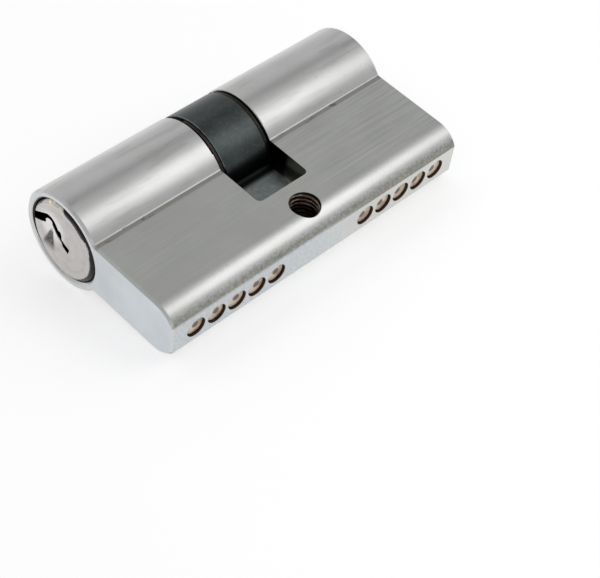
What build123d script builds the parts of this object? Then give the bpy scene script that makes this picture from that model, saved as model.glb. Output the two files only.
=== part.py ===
from build123d import *
import math
import os

# Double euro profile cylinder, 30/30, lying on its side.
#
# The pieces are drawn in the cylinder's own axes: X is the turning axis, with the front (key) face
# at -X, +Y is the top of the barrel and -Y the toe, +Z is square to the flat web. They are then
# rolled about X by LIE_ANGLE, so that the barrel and the toe both touch a level surface.
# The origin is the turning axis at the middle of the cam.

# A distance that is outside the body in every direction, for cuts that run right through, and how
# closely a vertex or a radius has to match the one that is looked for
BEYOND = 60.0
TOLERANCE = 0.01

# Body, mm
HALF_LENGTH = 30.0
BARREL_R = 8.5
WEB_HALF = 5.0
TOE_Y = -24.5
TOE_ARC_R = 4.5
TOE_FLAT_HALF = 2.6
JUNCTION_FILLET = 0.5
END_CHAMFER = 0.4

# Slot for the cam, and the fixing screw's hole
SLOT_HALF = 5.2
SLOT_Y = -15.5
SLOT_CORNER_R = 0.9
SLOT_EDGE = 0.12
SCREW_R = 2.5
SCREW_Y = -20.0

# Plug and its bore
PLUG_R = 6.5
BORE_R = 6.55
FLANGE_R = 7.05
FLANGE_BORE_R = 7.1
FLANGE_LENGTH = 1.35
FLANGE_GAP = 0.05
FACE_FILLET = 0.8
BORE_CHAMFER = 0.4
PLUG_END = 0.35
KEYWAY_END = 4.2

# Shallow round dish beside the keyway, which leads the key's tip in
DISH_Y = 2.5
DISH_Z = 1.2
DISH_R = 4.6
DISH_DEPTH = 0.15

# Snap ring behind each plug. Its opening is centred RING_OPENING_AT degrees from +Z towards +Y.
RING_START = 4.4
RING_WIDTH = 0.45
RING_R = 8.2
RING_INNER_R = 6.1
GROOVE_R = 6.05
GROOVE_START = 4.35
GROOVE_WIDTH = 0.55
RING_OPENING = 70.0
RING_OPENING_AT = 52.0

# Cam
CAM_R = 8.4
CAM_HALF = 4.25
LEVER_R = 15.0
LEVER_HALF = 1.55
LEVER_LONG_HALF = 4.0
LEVER_CORNER_R = 3.0
LEVER_FILLET = 0.8
LEVER_TIP_FILLET = 0.5
CAM_LAND_HALF = 1.55
CAM_RELIEF_R = 7.4
CAM_CHAMFER = 0.12

# Clutch dogs
DOG_R = 7.2
DOG_THICK = 1.2
DOG_WIDE = 2.9
DOG_SLOT = 3.0
DOG_PARKED = 2.95

# Pin chambers: first one's distance from the middle, pitch and count on each side
CHAMBER_FIRST = 9.5
CHAMBER_PITCH = 4.0
CHAMBER_COUNT = 5
CHAMBER_R = 1.525
CHAMBER_TOP = -6.0
PIN_R = 1.475
PLUG_HOLE_TOP = 1.6
KEY_PIN_FOOT = -6.4
KEY_PIN_TIPS = [-1.5, -0.5, -1.0, 0.0, -2.0]
KEY_PIN_CONE = 0.8
PIN_CHAMFER = 0.4
DRIVER_HEAD = -6.62
DRIVER_LENGTH = 4.8
CAP_R = 1.75
CAP_RECESS = 0.5
CAP_THICK = 1.6
CAP_EDGE = 0.15
SPRING_COIL_R = 1.1
SPRING_WIRE_R = 0.18
SPRING_TURNS = 9
SPRING_GAP = 0.03

# Toe rounding: each arc is tangent to the web's face and ends at the flat of the toe
TOE_ARC_Z = WEB_HALF - TOE_ARC_R
TOE_ARC_Y = TOE_Y + math.sqrt(TOE_ARC_R ** 2 - (TOE_FLAT_HALF - TOE_ARC_Z) ** 2)

# Roll that puts the barrel and the lower toe rounding on one level plane
LIE_ANGLE = math.degrees(
    math.asin((BARREL_R - TOE_ARC_R) / math.hypot(TOE_ARC_Y, TOE_ARC_Z))
    - math.atan2(TOE_ARC_Z, -TOE_ARC_Y)
)

# Keyway, as (y, z) about the plug's axis, from the open side at the rim inwards. Its upper edge
# bends over a ridge to the foot, a small block near the axis, and its lower edge comes back over a
# rounded nose.
KEYWAY_MOUTH_TOP = (7.6, 0.65)
KEYWAY_RIDGE = [(3.85, 2.9), (2.9, 3.1), (1.95, 2.7), (1.1, 1.6), (0.25, 0.05)]
KEYWAY_FOOT = [(-0.2, -0.25), (-1.5, -0.65), (-1.2, -1.75), (0.1, -1.15), (0.35, -0.6), (0.7, -0.4)]
KEYWAY_NOSE = [(2.3, 1.4), (3.0, 2.1), (4.05, 1.5)]
KEYWAY_STEP = [(4.0, 0.85), (5.2, 0.2), (7.6, -0.7)]


def section(points):
    """A closed face of straight edges in the YZ plane."""
    return Plane.YZ * make_face(Polyline(*points, close=True))


def rod(radius, start, end):
    """A round bar along X, from x = start to x = end."""
    return Pos(X=(start + end) / 2) * Rot(Y=90) * Cylinder(radius, end - start)


def tube(outer, inner, start, end):
    """A round tube along X, from x = start to x = end."""
    return rod(outer, start, end) - rod(inner, start, end)


def post(x, radius, low, high):
    """A round bar along Y at the given x, from y = low to y = high."""
    return Pos(x, (low + high) / 2, 0) * Rot(X=-90) * Cylinder(radius, high - low)


def box(x, y, z):
    """A box from three (low, high) pairs."""
    middle = [(low + high) / 2 for low, high in (x, y, z)]
    sides = [high - low for low, high in (x, y, z)]
    return Pos(*middle) * Box(*sides)


def other_side(part):
    """The same piece in the rear half: half a turn about Y."""
    return Rot(Y=180) * part


def chamber_x(number):
    """Distance of a chamber from the middle, counted from the cam outwards."""
    return CHAMBER_FIRST + CHAMBER_PITCH * number


def save(name, part):
    export_step(Rot(X=LIE_ANGLE) * part, f"parts/{name}.step")


def corner_pair(shape, y, z):
    """The outline's two vertices at (y, z) and (y, -z)."""
    return [v for v in shape.vertices() if math.dist((v.X, abs(v.Y)), (y, z)) < TOLERANCE]


def body_section():
    """Barrel, web and toe as one outline, with small fillets where the web meets the barrel."""
    start = math.pi / 2
    end = math.atan2(TOE_FLAT_HALF - TOE_ARC_Z, TOE_Y - TOE_ARC_Y)
    half = (start + end) / 2
    arc_y = TOE_ARC_Y + TOE_ARC_R * math.cos(half)
    arc_z = TOE_ARC_Z + TOE_ARC_R * math.sin(half)
    outline = [
        Line((0, WEB_HALF), (TOE_ARC_Y, WEB_HALF)),
        ThreePointArc((TOE_ARC_Y, WEB_HALF), (arc_y, arc_z), (TOE_Y, TOE_FLAT_HALF)),
        Line((TOE_Y, TOE_FLAT_HALF), (TOE_Y, -TOE_FLAT_HALF)),
        ThreePointArc((TOE_Y, -TOE_FLAT_HALF), (arc_y, -arc_z), (TOE_ARC_Y, -WEB_HALF)),
        Line((TOE_ARC_Y, -WEB_HALF), (0, -WEB_HALF)),
        Line((0, -WEB_HALF), (0, WEB_HALF)),
    ]
    shape = Circle(BARREL_R) + make_face(outline)
    junction_y = -math.sqrt(BARREL_R ** 2 - WEB_HALF ** 2)
    return Plane.YZ * fillet(corner_pair(shape, junction_y, WEB_HALF), JUNCTION_FILLET)


def keyway_section():
    """The keyway's outline: straight flanks, a spline over the ridge and an arc round the nose."""
    upper = Line(KEYWAY_MOUTH_TOP, KEYWAY_RIDGE[0])
    ridge = Spline(*KEYWAY_RIDGE, tangents=(upper % 1, (0, -1)))
    foot = Polyline(KEYWAY_RIDGE[-1], *KEYWAY_FOOT, KEYWAY_NOSE[0])
    nose = ThreePointArc(*KEYWAY_NOSE)
    lower = Polyline(KEYWAY_NOSE[-1], *KEYWAY_STEP, KEYWAY_MOUTH_TOP)
    return Plane.YZ * make_face([upper, ridge, foot, nose, lower])


def dish_section():
    """The part of the plug's face below the keyway, where the dish is."""
    ridge = Spline(*KEYWAY_RIDGE)
    rim = [(-BARREL_R, 0), (-BARREL_R, -BARREL_R), (BARREL_R, -BARREL_R)]
    outer = Polyline(KEYWAY_RIDGE[-1], *rim, KEYWAY_MOUTH_TOP, KEYWAY_RIDGE[0])
    return Plane.YZ * make_face([ridge, outer])


def cylinder_body():
    body = extrude(body_section(), HALF_LENGTH, both=True)
    ends = body.faces().filter_by(Axis.X)
    body = chamfer(ends.edges(), END_CHAMFER)

    slot = box((-SLOT_HALF, SLOT_HALF), (SLOT_Y, BEYOND), (-BEYOND, BEYOND))
    slot = fillet(slot.edges().filter_by(Axis.Z).group_by(Axis.Y)[0], SLOT_CORNER_R)
    body -= slot
    bevel = Rot(Y=90) * Cone(BARREL_R - SLOT_EDGE, BARREL_R, SLOT_EDGE)
    edge = rod(BEYOND, SLOT_HALF, SLOT_HALF + SLOT_EDGE) - Pos(X=SLOT_HALF + SLOT_EDGE / 2) * bevel
    edge &= box((0, BEYOND), (-WEB_HALF, BEYOND), (-BEYOND, BEYOND))
    body -= edge
    body -= other_side(edge)
    body -= Pos(0, SCREW_Y, 0) * Cylinder(SCREW_R, BEYOND)

    body -= rod(BORE_R, -HALF_LENGTH, HALF_LENGTH)
    for side in (-1, 1):
        step = side * (HALF_LENGTH - FLANGE_LENGTH - FLANGE_GAP)
        body -= rod(FLANGE_BORE_R, *sorted((step, side * HALF_LENGTH)))
    circles = body.edges().filter_by(GeomType.CIRCLE)
    mouths = circles.filter_by(lambda edge: abs(edge.radius - FLANGE_BORE_R) < TOLERANCE)
    body = chamfer(mouths.group_by(Axis.X)[0] + mouths.group_by(Axis.X)[-1], BORE_CHAMFER)

    cap_seat = TOE_Y + CAP_RECESS + CAP_THICK
    for number in range(CHAMBER_COUNT):
        for side in (-1, 1):
            x = side * chamber_x(number)
            body -= post(x, CHAMBER_R, TOE_Y, CHAMBER_TOP)
            body -= post(x, CAP_R, TOE_Y, cap_seat)
    return body


def front_plug():
    plug = rod(PLUG_R, -HALF_LENGTH, -PLUG_END)
    flange = rod(FLANGE_R, -HALF_LENGTH, -HALF_LENGTH + FLANGE_LENGTH)
    plug += fillet(flange.edges().group_by(Axis.X)[0], FACE_FILLET)
    plug -= tube(FLANGE_R, GROOVE_R, -GROOVE_START - GROOVE_WIDTH, -GROOVE_START)

    face = Pos(X=-HALF_LENGTH)
    dish = Pos(DISH_DEPTH / 2, DISH_Y, DISH_Z) * Rot(Y=90) * Cone(DISH_R, 0, DISH_DEPTH)
    plug -= face * extrude(keyway_section(), HALF_LENGTH - KEYWAY_END)
    plug -= face * (dish & extrude(dish_section(), DISH_DEPTH))
    plug -= box((-KEYWAY_END, 0), (-FLANGE_R, FLANGE_R), (-DOG_SLOT / 2, DOG_SLOT / 2))
    for number in range(CHAMBER_COUNT):
        plug -= post(-chamber_x(number), CHAMBER_R, -FLANGE_R, PLUG_HOLE_TOP)
    return plug


def cam():
    """A ring with one lever. The ring's inner land has two notches for the clutch dogs."""
    blade = Circle(CAM_R) + Pos(-LEVER_R / 2, 0) * Rectangle(LEVER_R, 2 * LEVER_HALF)
    root_y = -math.sqrt(CAM_R ** 2 - LEVER_HALF ** 2)
    blade = fillet(corner_pair(blade, root_y, LEVER_HALF), LEVER_FILLET)
    blade = fillet(blade.vertices().group_by(Axis.X)[0], LEVER_TIP_FILLET)
    plan = Pos(0, -LEVER_R / 2) * Rectangle(2 * LEVER_LONG_HALF, LEVER_R)
    plan = fillet(plan.vertices().group_by(Axis.Y)[0], LEVER_CORNER_R)
    lever = extrude(Plane.YZ * blade, LEVER_LONG_HALF, both=True) & extrude(plan, CAM_R, both=True)
    ring = rod(CAM_R, -CAM_HALF, CAM_HALF)
    solid = chamfer(ring.edges().filter_by(GeomType.CIRCLE), CAM_CHAMFER) + lever
    solid -= rod(BORE_R, -CAM_HALF, CAM_HALF)
    for side in (-1, 1):
        solid -= rod(CAM_RELIEF_R, *sorted((side * CAM_LAND_HALF, side * CAM_HALF)))
    notch = box((-CAM_HALF, CAM_HALF), (-CAM_RELIEF_R, CAM_RELIEF_R), (-DOG_SLOT / 2, DOG_SLOT / 2))
    return solid - (notch & rod(CAM_RELIEF_R, -CAM_HALF, CAM_HALF))


def snap_ring():
    """An open ring. Its opening is a wedge from the turning axis."""
    start = -RING_START - RING_WIDTH
    sides = [math.radians(RING_OPENING_AT + turn * RING_OPENING / 2) for turn in (-1, 1)]
    corners = [(BEYOND * math.sin(angle), BEYOND * math.cos(angle)) for angle in sides]
    wedge = extrude(section([(0, 0)] + corners), RING_WIDTH)
    return tube(RING_R, RING_INNER_R, start, -RING_START) - Pos(X=start) * wedge


def clutch_dog(inner_end):
    """A cross bar that sits in the plug's end slot. Its two ears reach into the cam's notches."""
    bar = box((-inner_end - DOG_THICK, -inner_end), (-DOG_R, DOG_R), (-DOG_WIDE / 2, DOG_WIDE / 2))
    return bar & rod(DOG_R, -inner_end - DOG_THICK, -inner_end)


def key_pin(x, tip):
    pin = post(x, PIN_R, KEY_PIN_FOOT, tip)
    pin = chamfer(pin.edges().group_by(Axis.Y)[-1], KEY_PIN_CONE)
    return chamfer(pin.edges().group_by(Axis.Y)[0], PIN_CHAMFER)


def driver_pin(x):
    pin = post(x, PIN_R, DRIVER_HEAD - DRIVER_LENGTH, DRIVER_HEAD)
    return chamfer(pin.edges().filter_by(GeomType.CIRCLE), PIN_CHAMFER / 2)


def chamber_cap(x):
    cap = post(x, CAP_R, TOE_Y + CAP_RECESS, TOE_Y + CAP_RECESS + CAP_THICK)
    return chamfer(cap.edges().group_by(Axis.Y)[0], CAP_EDGE)


def pin_spring(x):
    """An open coil from the driver pin's foot to the cap."""
    low = TOE_Y + CAP_RECESS + CAP_THICK + SPRING_GAP + SPRING_WIRE_R
    high = DRIVER_HEAD - DRIVER_LENGTH - SPRING_GAP - SPRING_WIRE_R
    path = Helix((high - low) / SPRING_TURNS, high - low, SPRING_COIL_R)
    wire = Plane(origin=path @ 0, z_dir=path % 0) * Circle(SPRING_WIRE_R)
    coil = sweep(wire, path=path, is_frenet=True)
    return Pos(x, low, 0) * Rot(X=-90) * coil


os.makedirs("parts", exist_ok=True)

save("cylinder_body", cylinder_body())
save("front_plug", front_plug())
save("rear_plug", other_side(front_plug()))
save("cam", cam())
save("front_circlip", snap_ring())
save("rear_circlip", other_side(snap_ring()))
save("front_clutch", clutch_dog(PLUG_END))
save("rear_clutch", other_side(clutch_dog(DOG_PARKED)))

for number in range(CHAMBER_COUNT):
    for half, side in (("front", -1), ("rear", 1)):
        x = side * chamber_x(number)
        label = number + 1
        save(f"{half}_key_pin_{label}", key_pin(x, KEY_PIN_TIPS[number]))
        save(f"{half}_driver_pin_{label}", driver_pin(x))
        save(f"{half}_spring_{label}", pin_spring(x))
        save(f"{half}_chamber_cap_{label}", chamber_cap(x))
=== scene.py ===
import math

import bpy
from mathutils import Matrix, Vector


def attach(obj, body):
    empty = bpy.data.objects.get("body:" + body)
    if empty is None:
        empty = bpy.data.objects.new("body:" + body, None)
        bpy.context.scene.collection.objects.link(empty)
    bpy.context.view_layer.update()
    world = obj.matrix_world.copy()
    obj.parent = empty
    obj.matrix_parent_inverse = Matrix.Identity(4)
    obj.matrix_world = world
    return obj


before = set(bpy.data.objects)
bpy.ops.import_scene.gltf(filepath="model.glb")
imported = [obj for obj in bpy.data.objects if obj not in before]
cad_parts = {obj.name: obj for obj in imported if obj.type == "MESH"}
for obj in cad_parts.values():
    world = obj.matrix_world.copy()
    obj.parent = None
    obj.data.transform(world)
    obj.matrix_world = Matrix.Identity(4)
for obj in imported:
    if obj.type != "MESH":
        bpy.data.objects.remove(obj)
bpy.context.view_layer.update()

MM = 0.001
LIE_ANGLE = math.radians(9.8415)    # the cylinder lies rolled by this about its turning axis

# Sizes of the frame that the materials and the thread need, in mm, in the cylinder's own axes:
# X along the turning axis, +Y the barrel's top, +Z square to the web
HALF_LENGTH = 30.0
BARREL_R = 8.5
WEB_HALF = 5.0
TOE_Y = -24.5
SLOT_HALF = 5.2
SLOT_Y = -15.5
SCREW_R = 2.5
SCREW_Y = -20.0
FLANGE_BORE_R = 7.1
CAM_R = 8.4
CAM_HALF = 4.25
CHAMBER_FIRST = 9.5
CHAMBER_PITCH = 4.0
CAP_R = 1.75
FLOOR_Z = -BARREL_R

# The dish beside the keyway, and the keyway's inner corner with the direction square to its lower lip
DISH_Y = 2.5
DISH_Z = 1.2
LIP_Y = 0.7
LIP_Z = -0.4
LIP_ACROSS = (0.747, 0.664)

# Thread, in mm, but for its half widths and the space before its first turn, which are in pitches,
# and the part of its height that it still has at its very ends
THREAD_PITCH = 0.8
THREAD_ROOT = 2.47
THREAD_CREST = 2.15
THREAD_INSET = 0.12
THREAD_END = 0.42
THREAD_FOOT_HALF = 0.40
THREAD_TOP_HALF = 0.07
THREAD_STEPS = 56
THREAD_FADE_STEPS = 14
THREAD_LEAST = 0.02

# Where each finish and each painted shade of the body begins, in mm: a pair runs from none of it to all of
# it. REAR_HALF,
# UNDERSIDE and PITS_ALONG are along X, the others along Y.
WEB_TOP = (-6.9, -7.4)
WEB_FOOT = (-21.4, -20.2)
TOE_TOP = (-20.2, -21.6)
TOE_SHADE = (-23.3, -24.5)
REAR_HALF = (2.0, 9.0)
UNDERSIDE = (12.0, -4.0)
WARM_END = (-8.0, -4.0)
PITS_ALONG = (14.0, 20.0)

# The painted reflection of a dark fan in the dish: its middle line's slope off -Z, how far off that slope its
# sides fade, and the distances along -Z at which it starts and ends
FAN_SLOPE = 0.17
FAN_SIDES = (0.36, 0.20)
FAN_TIP = (0.3, 1.6)
FAN_END = (5.9, 3.6)

# The cam's lever has painted shade, black, at its foot, and painted light farther out that makes it paler
# than the ring
LEVER_SHADE = (-6.9, -8.3)
LEVER_BLADE = (-9.3, -10.4)

# The painted shade round the plug, standing in for the dark gap there: its colour, its outer edge, the shift
# of its middle towards +Y, how thick it gets, and how much of it there is at each angle from +Y towards +Z
GAP_SHADE = (0.03, 0.026, 0.027)
RING_EDGE = 6.93
RING_SHIFT = 0.37
RING_THICK = 0.85
GAP_SHADE_ROUND = ((-180, 0.42), (-128, 0.36), (-112, 0.10), (-30, 0.14), (0, 0.70), (40, 0.80), (56, 0.02),
               (88, 0.02), (95, 0.95), (134, 0.85), (142, 0.05), (156, 0.10), (166, 0.42), (180, 0.42))
KEYWAY_DARK = (0.012, 0.011, 0.012)

# The photograph's view: angles in degrees, then the point aimed at, its distance and the lens in mm.
# It was fitted to the outlines with the length held at 60 mm, then aimed 0.22 mm nearer -X.
VIEW_AZIMUTH = -44.2242
VIEW_ELEVATION = 42.6690
VIEW_ROLL = -0.6604
VIEW_TARGET = (-8.83, -28.3683, -4.9212)
VIEW_DISTANCE = 235.357
VIEW_LENS = 95.9382
SENSOR_WIDTH = 36.0

# The surround's brightness at each angle about X, in degrees from straight up towards +Y
SURROUND = ((-110, 0.36), (-84, 0.40), (-66, 0.56), (-10, 0.62), (8, 0.55), (14, 0.22), (19, 0.24),
            (26, 0.60), (32, 0.66), (45, 0.68), (65, 0.60), (90, 0.82), (110, 1.0))

# The softbox and the table, in metres and watts
LAMP_DIRECTION = (0.100, -0.110, 0.150)
LAMP_DISTANCE = 0.211
LAMP_SIZE = 0.125
LAMP_POWER = 0.042
TABLE_HALF = 3.0


# ---------------------------------------------------------------- shader building

def ramp_stops(ramp, stops):
    """Give a colour ramp these (place, colour) stops, each colour a triple."""
    while len(ramp.elements) < len(stops):
        ramp.elements.new(0.5)
    for element, (place, colour) in zip(ramp.elements, stops):
        element.position = place
        element.color = (*colour, 1.0)


class Shader:
    """One node material, built with short calls. Sockets are named as Blender names them."""

    def __init__(self, name):
        self.material = bpy.data.materials.new(name)
        self.material.use_nodes = True
        self.tree = self.material.node_tree
        self.tree.nodes.clear()

    def set(self, socket, value):
        """Link a socket to another, or give it a plain value."""
        if isinstance(value, bpy.types.NodeSocket):
            self.tree.links.new(value, socket)
        elif socket.type == "RGBA":
            socket.default_value = (*value, 1.0)
        else:
            socket.default_value = value

    def node(self, kind, inputs=None, **settings):
        made = self.tree.nodes.new("ShaderNode" + kind)
        for key, value in settings.items():
            setattr(made, key, value)
        for key, value in (inputs or {}).items():
            self.set(made.inputs[key], value)
        return made

    def math(self, operation, *values):
        return self.node("Math", dict(enumerate(values)), operation=operation).outputs[0]

    def plus(self, first, second):
        return self.math("ADD", first, second)

    def minus(self, first, second):
        return self.math("SUBTRACT", first, second)

    def times(self, first, *others):
        """The product of two or more values."""
        for other in others:
            first = self.math("MULTIPLY", first, other)
        return first

    def hypot(self, a, b):
        return self.math("SQRT", self.plus(self.times(a, a), self.times(b, b)))

    def absolute(self, value):
        return self.math("ABSOLUTE", value)

    def smooth(self, value, low, high):
        """0 at or below low, 1 at or above high, smooth between. low may be the larger one."""
        made = self.node("MapRange", {"Value": value, "From Min": low, "From Max": high},
                         interpolation_type="SMOOTHSTEP")
        return made.outputs["Result"]

    def band(self, value, start, full, level, end):
        """1 from full to level, and smoothly down to 0 at start and at end."""
        return self.times(self.smooth(value, start, full), self.smooth(value, end, level))

    def local(self):
        """The piece's own place in the cylinder's axes, in mm."""
        place = self.node("TexCoord").outputs["Object"]
        turned = self.node("Mapping", {"Vector": place, "Rotation": (LIE_ANGLE, 0, 0), "Scale": (MM, MM, MM)},
                           vector_type="TEXTURE")
        return turned.outputs["Vector"]

    def split(self, vector):
        return self.node("SeparateXYZ", {"Vector": vector}).outputs

    def join(self, x, y=0.0):
        return self.node("CombineXYZ", {0: x, 1: y, 2: 0.0}).outputs[0]

    def stretch(self, vector, scale, offset=(0, 0, 0)):
        made = self.node("Mapping", {"Vector": vector, "Scale": scale, "Location": offset})
        return made.outputs["Vector"]

    def noise(self, vector, scale=1.0, detail=2.0, roughness=0.5):
        made = self.node("TexNoise", {"Vector": vector, "Scale": scale, "Detail": detail,
                                      "Roughness": roughness, "Distortion": 0.0})
        return made.outputs["Fac"]

    def ramp(self, value, *stops):
        made = self.node("ValToRGB", {"Fac": value})
        ramp_stops(made.color_ramp, stops)
        return made.outputs["Color"]

    def mix(self, amount, first, second, blend="MIX"):
        made = self.node("Mix", data_type="RGBA", blend_type=blend)
        for place, value in ((0, amount), (6, first), (7, second)):
            self.set(made.inputs[place], value)
        return made.outputs[2]

    def tint(self, amount, colour, factor):
        """The colour, multiplied by the factor where the amount is 1."""
        return self.mix(amount, colour, self.mix(1.0, colour, factor, "MULTIPLY"))

    def bump(self, height, strength, distance, normal=None):
        inputs = {"Height": height, "Strength": strength, "Distance": distance}
        if normal is not None:
            inputs["Normal"] = normal
        return self.node("Bump", inputs).outputs["Normal"]

    def vector_math(self, operation, *vectors):
        return self.node("VectorMath", dict(enumerate(vectors)), operation=operation).outputs[0]

    def across_brushing(self):
        """Square to X in the surface, as a face brushed along X blurs light. Upright on end faces."""
        normal = self.node("NewGeometry").outputs["Normal"]
        turned = self.vector_math("CROSS_PRODUCT", normal, (1.0, 0.0, 0.0))
        return self.vector_math("NORMALIZE", self.vector_math("ADD", turned, (0.0, 0.02, 0.01)))

    def outwards(self):
        """Away from the turning axis, the way that a turned end face blurs light."""
        place = self.node("NewGeometry").outputs["Position"]
        radial = self.vector_math("MULTIPLY", place, (0.0, 1.0, 1.0))
        return self.vector_math("NORMALIZE", self.vector_math("ADD", radial, (0.0002, 0.00005, 0.00003)))

    def facing_z(self, x, z):
        """z, turned over at the rear, where the plug is the front one turned half round about Y."""
        return self.times(z, self.math("SIGN", self.times(x, -1.0)))

    def off_plug(self, y, z):
        """Distance from the middle of the painted shade round the plug, which lies a little towards +Y."""
        return self.hypot(self.minus(y, RING_SHIFT), z)

    def gap_shade_amount(self, y, z):
        """How much painted shade there is, 0 to 1, at each angle round the plug, from +Y towards +Z."""
        angle = self.math("ARCTAN2", z, y)
        turn = self.node("MapRange", {"Value": angle, "From Min": -math.pi, "From Max": math.pi})
        stops = [((degrees + 180) / 360, (amount,) * 3) for degrees, amount in GAP_SHADE_ROUND]
        return self.ramp(turn.outputs["Result"], *stops)

    def finish(self, inputs):
        surface = self.node("BsdfPrincipled", inputs)
        self.node("OutputMaterial", {"Surface": surface.outputs[0]})
        return self.material


def chamber_step(shader, x):
    """Distance along X from the nearest chamber's middle."""
    past = shader.minus(shader.absolute(x), CHAMBER_FIRST)
    return shader.math("WRAP", past, CHAMBER_PITCH / 2, -CHAMBER_PITCH / 2)


def streaks(shader, place, width, length, detail=2.0):
    """Fine lines along X: width and length are the size of one line, in mm."""
    scale = (1 / length, 1 / width, 1 / width)
    return shader.noise(shader.stretch(place, scale), detail=detail, roughness=0.6)


# ---------------------------------------------------------------- materials

def plated_body():
    """Nickel plate: polished barrel, brushed web, frosted toe, dull cast ends; painted shade in the slot, the
    holes, the bore, the inner corners and round the plug.
    """
    s = Shader("satin_nickel_body")
    place = s.local()
    x, y, z = s.split(place)
    far = s.absolute(x)
    depth = s.absolute(z)
    radius = s.hypot(y, z)

    fine = streaks(s, place, 0.13, 9.0, 3.0)
    middle = streaks(s, place, 0.40, 24.0)
    grain = s.noise(place, 9.0, 3.0, 0.6)
    mottle = s.noise(place, 2.4, 4.0, 0.65)
    cloud = s.noise(place, 0.16, 3.0, 0.5)

    # Where each finish is
    web = s.times(s.smooth(depth, WEB_HALF + 0.12, WEB_HALF + 0.04), s.smooth(y, *WEB_TOP))
    web = s.times(web, s.smooth(y, *WEB_FOOT))
    toe = s.smooth(y, *TOE_TOP)
    flat = s.smooth(y, TOE_Y + 0.25, TOE_Y + 0.05)
    end = s.smooth(far, HALF_LENGTH - 0.12, HALF_LENGTH - 0.02)

    # Brushed lines, stronger on the web and most of all on its rear half
    lines = s.plus(s.times(fine, 0.6), s.times(middle, 0.4))
    swing = s.plus(0.30, s.times(s.smooth(x, *REAR_HALF), 0.55))
    swing = s.plus(0.06, s.times(web, swing))
    tone = s.plus(1.0, s.times(s.minus(lines, 0.5), swing))
    nickel = s.mix(s.smooth(cloud, 0.35, 0.65), (0.61, 0.615, 0.60), (0.64, 0.645, 0.635))
    nickel = s.mix(1.0, nickel, tone, "MULTIPLY")
    nickel = s.tint(s.smooth(mottle, 0.60, 0.72), nickel, (0.93, 0.93, 0.92))

    # The web is duller, and the frosted toe gets painted shade, dark and olive, towards its lower edge
    nickel = s.tint(web, nickel, (0.905, 0.915, 0.89))
    nickel = s.tint(s.times(toe, s.smooth(mottle, 0.42, 0.62)), nickel, (1.05, 1.06, 1.04))
    ragged = s.plus(y, s.times(s.minus(mottle, 0.5), 1.6))
    painted_light = s.times(s.smooth(ragged, *TOE_SHADE), s.smooth(depth, 2.5, 2.65))
    nickel = s.tint(painted_light, nickel, (0.48, 0.47, 0.42))
    # The toe's flat: bluish grey, with painted shade towards the front
    underside = s.mix(s.smooth(mottle, 0.35, 0.65), (0.52, 0.55, 0.575), (0.62, 0.65, 0.67))
    nickel = s.mix(s.times(flat, s.smooth(x, *UNDERSIDE)), nickel, underside)

    # A painted shade line along each inner corner between barrel and web, darker in patches
    corner = s.times(s.smooth(radius, BARREL_R, BARREL_R + 0.06), s.band(y, -7.9, -7.5, -6.4, -6.0))
    shade_patches = s.smooth(s.noise(s.stretch(place, (0.35, 1.0, 1.0)), detail=3.0), 0.56, 0.72)
    nickel = s.mix(corner, nickel, s.mix(shade_patches, (0.40, 0.395, 0.375), (0.20, 0.19, 0.165)))

    # Faint smudges along the barrel, and pits on its rear half near that corner
    smudge = s.noise(s.stretch(place, (0.10, 0.75, 0.75), (3.0, 0.0, 0.0)), detail=4.0)
    smudge = s.times(s.smooth(smudge, 0.52, 0.64), s.smooth(y, -7.0, -6.0))
    nickel = s.tint(smudge, nickel, (0.90, 0.895, 0.885))
    pits = s.times(s.smooth(s.noise(place, 1.3, 5.0, 0.7), 0.60, 0.68), s.smooth(x, *PITS_ALONG))
    pits = s.times(pits, s.band(y, -7.2, -6.6, -2.0, 0.5))
    nickel = s.tint(pits, nickel, (0.72, 0.72, 0.68))

    # The end faces, a little warmer round the plug
    pitted = s.mix(s.smooth(grain, 0.60, 0.72), (0.66, 0.70, 0.725), (0.46, 0.49, 0.51))
    nickel = s.mix(end, nickel, s.mix(s.smooth(cloud, 0.3, 0.7), pitted, (0.60, 0.63, 0.655)))
    nickel = s.tint(s.times(end, s.smooth(y, *WARM_END)), nickel, (1.04, 1.0, 0.965))

    # Painted shade round the plug, and all the way round inside its bore
    ring = s.smooth(s.off_plug(y, z), RING_EDGE + 0.06, RING_EDGE)
    ring = s.times(ring, s.smooth(radius, FLANGE_BORE_R + 0.5, FLANGE_BORE_R + 0.4))
    ring = s.times(ring, s.smooth(s.gap_shade_amount(y, s.facing_z(x, z)), 0.03, 0.12))
    nickel = s.mix(s.times(ring, s.smooth(far, HALF_LENGTH - 1.0, HALF_LENGTH - 0.8)), nickel, GAP_SHADE)
    bore = s.times(s.smooth(radius, FLANGE_BORE_R + 0.2, FLANGE_BORE_R + 0.1),
                   s.smooth(far, HALF_LENGTH - 0.34, HALF_LENGTH - 0.4))
    nickel = s.mix(bore, nickel, GAP_SHADE)

    # Painted shade makes the slot's walls nearly black, but for a painted reflection of the floor on the rear
    # one
    in_slot = s.times(s.smooth(far, SLOT_HALF + 0.06, SLOT_HALF + 0.01), s.smooth(y, SLOT_Y - 0.1, SLOT_Y))
    in_slot = s.times(in_slot, s.smooth(depth, WEB_HALF - 0.02, WEB_HALF - 0.06))
    floor_reflection = s.times(s.smooth(x, SLOT_HALF - 0.1, SLOT_HALF - 0.02), s.smooth(y, -10.4, -11.3))
    slot_colour = s.mix(grain, (0.010, 0.010, 0.009), (0.022, 0.022, 0.019))
    nickel = s.mix(in_slot, nickel, s.mix(floor_reflection, slot_colour, (0.24, 0.24, 0.185)))
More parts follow.
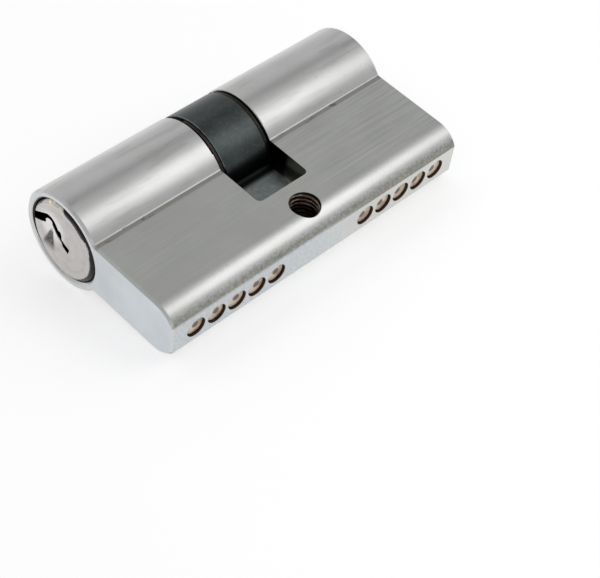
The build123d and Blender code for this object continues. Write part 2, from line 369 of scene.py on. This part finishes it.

    # Brass brown inside the chambers' mouths and inside the fixing hole, darkened with painted shade, in the
    # fixing hole more so deeper down
    hole = s.hypot(chamber_step(s, x), z)
    in_hole = s.times(s.smooth(hole, CAP_R + 0.06, CAP_R + 0.02), s.smooth(y, TOE_Y + 0.02, TOE_Y + 0.08))
    in_hole = s.times(in_hole, s.smooth(y, -15.0, -15.5))
    in_hole = s.times(in_hole, s.smooth(far, HALF_LENGTH - 2.0, HALF_LENGTH - 2.4))
    nickel = s.mix(in_hole, nickel, s.mix(grain, (0.035, 0.022, 0.016), (0.12, 0.07, 0.045)))
    screw = s.hypot(x, s.minus(y, SCREW_Y))
    in_screw = s.times(s.smooth(screw, SCREW_R + 0.05, SCREW_R + 0.01),
                       s.smooth(depth, WEB_HALF - 0.02, WEB_HALF - 0.1))
    screw_colour = s.mix(grain, (0.09, 0.065, 0.05), (0.22, 0.17, 0.13))
    # Painted shade: darker deeper down in the fixing hole
    screw_colour = s.mix(s.smooth(z, 2.4, 4.2), (0.035, 0.022, 0.018), screw_colour)
    nickel = s.mix(in_screw, nickel, screw_colour)

    rough = s.plus(0.29, s.times(end, 0.08))
    rough = s.plus(rough, s.times(mottle, 0.06))
    normal = s.bump(lines, s.plus(0.03, s.times(web, 0.09)), 0.00005)
    normal = s.bump(mottle, s.plus(0.035, s.times(toe, 0.12)), 0.0001, normal)
    normal = s.bump(grain, 0.06, 0.00003, normal)
    spread = s.plus(0.15, s.times(web, 0.5))
    return s.finish({"Base Color": nickel, "Metallic": 1.0, "Roughness": rough, "Anisotropic": spread,
                     "Tangent": s.across_brushing(), "Normal": normal})


def turned_plug():
    """Nickel-plated plug: fine turning rings on its face, a painted reflection with a dark fan in the dish,
    painted shade in the keyway and round its edge.
    """
    s = Shader("turned_nickel_plug")
    place = s.local()
    x, y, z = s.split(place)
    z = s.facing_z(x, z)
    far = s.absolute(x)
    radius = s.hypot(y, z)
    rings = s.noise(s.join(radius), 5.0, 4.0, 0.7)
    wide_rings = s.noise(s.join(radius), 1.1, 1.0, 0.5)
    cloud = s.noise(place, 0.5, 3.0, 0.5)
    scratches = s.noise(s.stretch(place, (1.0, 0.5, 3.0)), 1.6, 4.0, 0.7)
    colour = s.ramp(rings, (0.3, (0.50, 0.48, 0.47)), (0.55, (0.57, 0.55, 0.54)), (0.8, (0.64, 0.615, 0.60)))
    colour = s.tint(s.smooth(wide_rings, 0.4, 0.65), colour, (0.93, 0.92, 0.91))
    colour = s.tint(s.smooth(cloud, 0.45, 0.7), colour, (0.92, 0.90, 0.88))
    colour = s.tint(s.smooth(scratches, 0.60, 0.70), colour, (0.78, 0.76, 0.75))

    # Painted reflection: the dish is painted bright, with a dark fan from its deepest point, streaked
    # outwards
    across = s.minus(y, DISH_Y)
    along = s.minus(DISH_Z, z)
    lean = s.minus(s.math("DIVIDE", across, s.math("MAXIMUM", along, 0.05)), FAN_SLOPE)
    streak = s.noise(s.join(lean, s.times(along, 0.05)), 26.0, 1.0)
    fan = s.times(s.smooth(s.absolute(lean), *FAN_SIDES), s.smooth(along, *FAN_END))
    fan = s.times(fan, s.smooth(along, *FAN_TIP))
    fan = s.times(fan, s.plus(0.72, s.times(s.smooth(streak, 0.40, 0.56), 0.28)))
    squared = s.plus(s.times(across, across), s.times(along, along))
    colour = s.mix(s.smooth(squared, 12.0, 2.0), colour, (0.76, 0.745, 0.73))
    colour = s.mix(fan, colour, (0.022, 0.020, 0.024))

    # The keyway's lower lip is dark with painted shade
    lip = s.minus(s.times(s.minus(y, LIP_Y), LIP_ACROSS[0]), s.times(s.plus(z, -LIP_Z), LIP_ACROSS[1]))
    lip = s.times(s.smooth(lip, 0.34, 0.24), s.smooth(y, 0.8, 1.3))
    lip = s.times(lip, s.times(s.smooth(y, 2.75, 2.45), s.smooth(z, 2.0, 1.7)))
    lip = s.times(lip, s.smooth(s.minus(z, s.times(y, 2.1)), -1.3, -1.5))
    colour = s.mix(lip, colour, KEYWAY_DARK)

    # Round the plug's edge a ring of painted shade of changing thickness, with painted warm glints
    off = s.plus(s.off_plug(y, z), s.times(s.minus(scratches, 0.5), 0.7))
    start = s.minus(RING_EDGE, s.times(s.gap_shade_amount(y, z), RING_THICK))
    colour = s.mix(s.smooth(s.minus(off, start), -0.14, 0.08), colour, GAP_SHADE)
    warm_glints = s.times(s.smooth(s.noise(place, 0.9, 3.0, 0.6), 0.52, 0.60), s.smooth(radius, 6.2, 6.4))
    warm_glints = s.times(warm_glints, s.times(s.smooth(y, -0.4, 0.4), s.smooth(z, 4.6, 5.2)))
    colour = s.mix(warm_glints, colour, (0.80, 0.76, 0.52))

    # Painted shade on the keyway's walls and behind the face
    facing = s.split(s.node("NewGeometry").outputs["True Normal"])[0]
    wall = s.times(s.smooth(s.absolute(facing), 0.5, 0.3), s.smooth(radius, 7.0, 6.3))
    colour = s.mix(wall, colour, KEYWAY_DARK)
    colour = s.mix(s.smooth(far, HALF_LENGTH - 0.5, HALF_LENGTH - 0.62), colour, (0.02, 0.018, 0.017))
    rough = s.plus(0.22, s.times(wide_rings, 0.14))
    normal = s.bump(rings, 0.16, 0.00004)
    normal = s.bump(scratches, 0.10, 0.00004, normal)
    return s.finish({"Base Color": colour, "Metallic": 1.0, "Roughness": rough, "Anisotropic": 0.4,
                     "Tangent": s.outwards(), "Normal": normal})


def black_steel():
    """The cam: blackened steel, dark round the ring, with painted shade at the lever's foot, painted light on
    the lever farther out, and a painted highlight in patches at the ring's edges.
    """
    s = Shader("blackened_steel_cam")
    place = s.local()
    x, y, z = s.split(place)
    radius = s.hypot(y, z)
    grain = s.noise(place, 7.0, 4.0, 0.65)
    around = s.noise(s.stretch(place, (5.0, 0.25, 0.25)), detail=3.0)
    cloud = s.noise(place, 0.35, 3.0, 0.5)
    mottle = s.noise(place, 1.6, 5.0, 0.7)
    ring = s.ramp(grain, (0.3, (0.060, 0.066, 0.066)), (0.55, (0.082, 0.092, 0.092)),
                  (0.8, (0.11, 0.122, 0.12)))
    ring = s.tint(s.smooth(cloud, 0.4, 0.65), ring, (0.84, 0.85, 0.86))
    ring = s.tint(s.smooth(mottle, 0.50, 0.66), ring, (1.25, 1.28, 1.24))
    blade = s.mix(s.smooth(mottle, 0.35, 0.7), (0.22, 0.245, 0.245), (0.31, 0.34, 0.335))
    ragged = s.plus(y, s.times(s.minus(mottle, 0.5), 0.6))
    # Painted shade, black, at the lever's foot, then painted light on the paler blade farther out
    colour = s.mix(s.smooth(y, *LEVER_SHADE), ring, (0.010, 0.011, 0.011))
    colour = s.mix(s.smooth(ragged, *LEVER_BLADE), colour, blade)
    # A painted highlight in patches along the ring's edges
    edge = s.smooth(s.absolute(x), CAM_HALF - 0.13, CAM_HALF - 0.09)
    painted_light = s.times(edge, s.smooth(s.noise(place, 0.5, 2.0), 0.30, 0.52))
    rim = s.band(radius, CAM_R - 0.14, CAM_R - 0.10, CAM_R + 0.01, CAM_R + 0.05)
    colour = s.mix(s.times(painted_light, rim), colour, (0.24, 0.25, 0.25))
    rough = s.plus(0.30, s.times(mottle, 0.12))
    normal = s.bump(grain, 0.14, 0.00004)
    normal = s.bump(around, 0.08, 0.00004, normal)
    return s.finish({"Base Color": colour, "Metallic": 1.0, "Roughness": rough, "Normal": normal})


def small_metal(name, dark, light, roughness):
    """A snap ring, dog, pin or spring: two tones in fine lines and a little grain."""
    s = Shader(name)
    place = s.local()
    grain = s.noise(place, 6.0, 3.0, 0.6)
    lines = s.noise(s.stretch(place, (4.0, 0.5, 0.5)), 3.0, 2.0)
    colour = s.mix(s.smooth(grain, 0.3, 0.7), dark, light)
    colour = s.tint(s.smooth(lines, 0.45, 0.65), colour, (0.8, 0.8, 0.8))
    rough = s.plus(roughness, s.times(grain, 0.12))
    normal = s.bump(grain, 0.15, 0.00003)
    return s.finish({"Base Color": colour, "Metallic": 1.0, "Roughness": rough, "Normal": normal})


def brass_cap():
    """Pressed-in brass caps: dull and stained, each with a painted shadow, a dark spot a little off its
    middle.
    """
    s = Shader("dull_brass_cap")
    place = s.local()
    grain = s.noise(place, 5.0, 3.0, 0.6)
    cloud = s.noise(place, 0.9, 2.0, 0.5)
    x, y, z = s.split(place)
    step = s.plus(chamber_step(s, x), 0.25)
    spot = s.plus(s.times(step, step), s.times(z, z))
    colour = s.mix(s.smooth(grain, 0.3, 0.7), (0.68, 0.58, 0.47), (0.82, 0.73, 0.62))
    colour = s.mix(s.smooth(cloud, 0.52, 0.66), colour, (0.50, 0.41, 0.32))
    # The dark spot is a painted shadow on each cap
    colour = s.mix(s.smooth(spot, 0.55, 0.20), colour, (0.20, 0.13, 0.11))
    rough = s.plus(0.34, s.times(grain, 0.15))
    normal = s.bump(grain, 0.25, 0.00004)
    return s.finish({"Base Color": colour, "Metallic": 0.35, "Roughness": rough, "Normal": normal})


def cut_thread():
    """The fixing hole's thread: worn brass tones in patches, with painted shade that makes it darker down
    inside the hole.
    """
    s = Shader("cut_brass_thread")
    place = s.local()
    grain = s.noise(place, 8.0, 3.0, 0.6)
    colour = s.mix(s.smooth(grain, 0.3, 0.7), (0.14, 0.105, 0.08), (0.46, 0.40, 0.34))
    colour = s.tint(s.smooth(s.noise(place, 0.9, 3.0, 0.6), 0.42, 0.58), colour, (0.45, 0.38, 0.34))
    # Painted shade: darker down inside the hole
    colour = s.tint(s.smooth(s.split(place)["Z"], 3.6, 2.0), colour, (0.15, 0.105, 0.09))
    normal = s.bump(grain, 0.2, 0.00003)
    return s.finish({"Base Color": colour, "Metallic": 1.0, "Roughness": 0.3, "Normal": normal})


def white_table():
    """The table: matt white with a glow of its own, so that the object's shadow stays pale."""
    s = Shader("white_table")
    soft = s.noise(s.node("TexCoord").outputs["Object"], 30.0, 2.0)
    colour = s.mix(soft, (0.86, 0.86, 0.86), (0.88, 0.88, 0.88))
    return s.finish({"Base Color": colour, "Roughness": 0.8, "Specular IOR Level": 0.2,
                     "Emission Color": (1.0, 1.0, 1.0), "Emission Strength": 0.45})


# The first entry that a node's name holds gives its material. The cam's name holds none of them.
MATERIALS = (
    ("body", plated_body()),
    ("plug", turned_plug()),
    ("clutch", small_metal("sintered_clutch_steel", (0.22, 0.22, 0.22), (0.34, 0.34, 0.33), 0.38)),
    ("key_pin", small_metal("turned_brass_pin", (0.55, 0.42, 0.24), (0.70, 0.56, 0.34), 0.24)),
    ("driver_pin", small_metal("turned_steel_pin", (0.50, 0.50, 0.50), (0.62, 0.62, 0.62), 0.22)),
    ("spring", small_metal("phosphor_bronze_coil", (0.48, 0.34, 0.22), (0.62, 0.46, 0.32), 0.28)),
    ("chamber_cap", brass_cap()),
    ("front_circlip", small_metal("grey_spring_steel", (0.03, 0.025, 0.023), (0.07, 0.06, 0.057), 0.34)),
    ("rear_circlip", small_metal("olive_spring_steel", (0.02, 0.02, 0.015), (0.05, 0.05, 0.038), 0.34)),
)
CAM = black_steel()
THREAD = cut_thread()

for name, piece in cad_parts.items():
    piece.data.materials.clear()
    piece.data.materials.append(next((material for word, material in MATERIALS if word in name), CAM))


# ---------------------------------------------------------------- pieces

def row_point(x, y, z):
    """A point given in the cylinder's own axes, in mm, as a point of the row frame, in metres."""
    c = math.cos(LIE_ANGLE)
    s = math.sin(LIE_ANGLE)
    return Vector((x, y * c - z * s, y * s + z * c)) * MM


def mesh_piece(name, points, faces, material):
    """A smooth-shaded object of these points and faces, linked to the scene."""
    mesh = bpy.data.meshes.new(name)
    mesh.from_pydata(points, [], faces)
    mesh.validate()
    mesh.polygons.foreach_set("use_smooth", [True] * len(mesh.polygons))
    mesh.materials.append(material)
    piece = bpy.data.objects.new(name, mesh)
    bpy.context.scene.collection.objects.link(piece)
    return piece


def screw_thread():
    """The M5 thread's ridge: one helical band inside the hole, faded out at both faces of the web."""
    reach = WEB_HALF - THREAD_INSET - THREAD_PITCH * THREAD_END
    count = int(2 * reach / THREAD_PITCH * THREAD_STEPS)
    points = []
    faces = []
    for i in range(count + 1):
        angle = 2 * math.pi * i / THREAD_STEPS
        middle = -reach + THREAD_PITCH * i / THREAD_STEPS
        fade = max(THREAD_LEAST, min(1.0, i / THREAD_FADE_STEPS, (count - i) / THREAD_FADE_STEPS))
        crest = THREAD_ROOT - (THREAD_ROOT - THREAD_CREST) * fade
        for radius, side in ((THREAD_ROOT, -THREAD_FOOT_HALF), (crest, -THREAD_TOP_HALF),
                             (crest, THREAD_TOP_HALF), (THREAD_ROOT, THREAD_FOOT_HALF)):
            z = middle + side * THREAD_PITCH
            points.append(row_point(radius * math.cos(angle), SCREW_Y + radius * math.sin(angle), z))
        if i < count:
            base = 4 * i
            for k in range(4):
                a, b = base + k, base + (k + 1) % 4
                faces.append((a, b, b + 4, a + 4))
    faces.append((3, 2, 1, 0))
    faces.append(tuple(4 * count + k for k in range(4)))
    return mesh_piece("screw_thread", points, faces, THREAD)


thread = screw_thread()
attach(thread, "housing")


# ---------------------------------------------------------------- table, light and camera

def table(half, height):
    """A square sheet that the cylinder lies on."""
    corners = [(-half, -half, height), (half, -half, height), (half, half, height), (-half, half, height)]
    sheet = mesh_piece("table", corners, [(0, 1, 2, 3)], white_table())


def studio_world():
    """A soft surround: its brightness changes slowly with the angle about X, as in a small light tent."""
    world = bpy.data.worlds.new("studio")
    bpy.context.scene.world = world
    world.use_nodes = True
    tree = world.node_tree
    tree.nodes.clear()
    place = tree.nodes.new("ShaderNodeTexCoord")
    parts = tree.nodes.new("ShaderNodeSeparateXYZ")
    angle = tree.nodes.new("ShaderNodeMath")
    angle.operation = "ARCTAN2"
    turn = tree.nodes.new("ShaderNodeMapRange")
    turn.inputs["From Min"].default_value = -math.pi
    turn.inputs["From Max"].default_value = math.pi
    ramp = tree.nodes.new("ShaderNodeValToRGB")
    ramp_stops(ramp.color_ramp, [((degrees + 180) / 360, (level, level, level * 1.01))
                                 for degrees, level in SURROUND])
    light = tree.nodes.new("ShaderNodeBackground")
    out = tree.nodes.new("ShaderNodeOutputWorld")
    tree.links.new(place.outputs["Generated"], parts.inputs[0])
    tree.links.new(parts.outputs["Y"], angle.inputs[0])
    tree.links.new(parts.outputs["Z"], angle.inputs[1])
    tree.links.new(angle.outputs[0], turn.inputs["Value"])
    tree.links.new(turn.outputs[0], ramp.inputs[0])
    tree.links.new(ramp.outputs[0], light.inputs[0])
    tree.links.new(light.outputs[0], out.inputs[0])


def softbox(name, direction, distance, size, power):
    """A round area lamp at this distance from the origin, which it faces."""
    data = bpy.data.lights.new(name, "AREA")
    data.shape = "DISK"
    data.size = size
    data.energy = power
    lamp = bpy.data.objects.new(name, data)
    bpy.context.scene.collection.objects.link(lamp)
    towards = Vector(direction).normalized()
    lamp.location = towards * distance
    lamp.rotation_mode = "QUATERNION"
    lamp.rotation_quaternion = towards.to_track_quat("Z", "Y")


def photo_camera():
    """The photograph's view, as a bearing, a height, a slight roll and a distance to one point."""
    azimuth, elevation, roll = (math.radians(angle) for angle in (VIEW_AZIMUTH, VIEW_ELEVATION, VIEW_ROLL))
    back = Vector((math.sin(azimuth) * math.cos(elevation), -math.cos(azimuth) * math.cos(elevation),
                   math.sin(elevation)))
    right = Vector((math.cos(azimuth), math.sin(azimuth), 0.0))
    up = back.cross(right)
    tilted = right * math.cos(roll) + up * math.sin(roll)
    upright = up * math.cos(roll) - right * math.sin(roll)
    data = bpy.data.cameras.new("photo_camera")
    data.lens = VIEW_LENS
    data.sensor_width = SENSOR_WIDTH
    data.clip_start = 0.01
    data.clip_end = 20.0
    camera = bpy.data.objects.new("photo_camera", data)
    bpy.context.scene.collection.objects.link(camera)
    place = Vector(VIEW_TARGET) * MM + back * VIEW_DISTANCE * MM
    turn = Matrix((tilted, upright, back)).transposed().to_4x4()
    camera.matrix_world = Matrix.Translation(place) @ turn
    bpy.context.scene.camera = camera


table(TABLE_HALF, FLOOR_Z * MM)
studio_world()
softbox("key_softbox", LAMP_DIRECTION, LAMP_DISTANCE, LAMP_SIZE, LAMP_POWER)
photo_camera()
bpy.context.scene.view_settings.view_transform = "Standard"
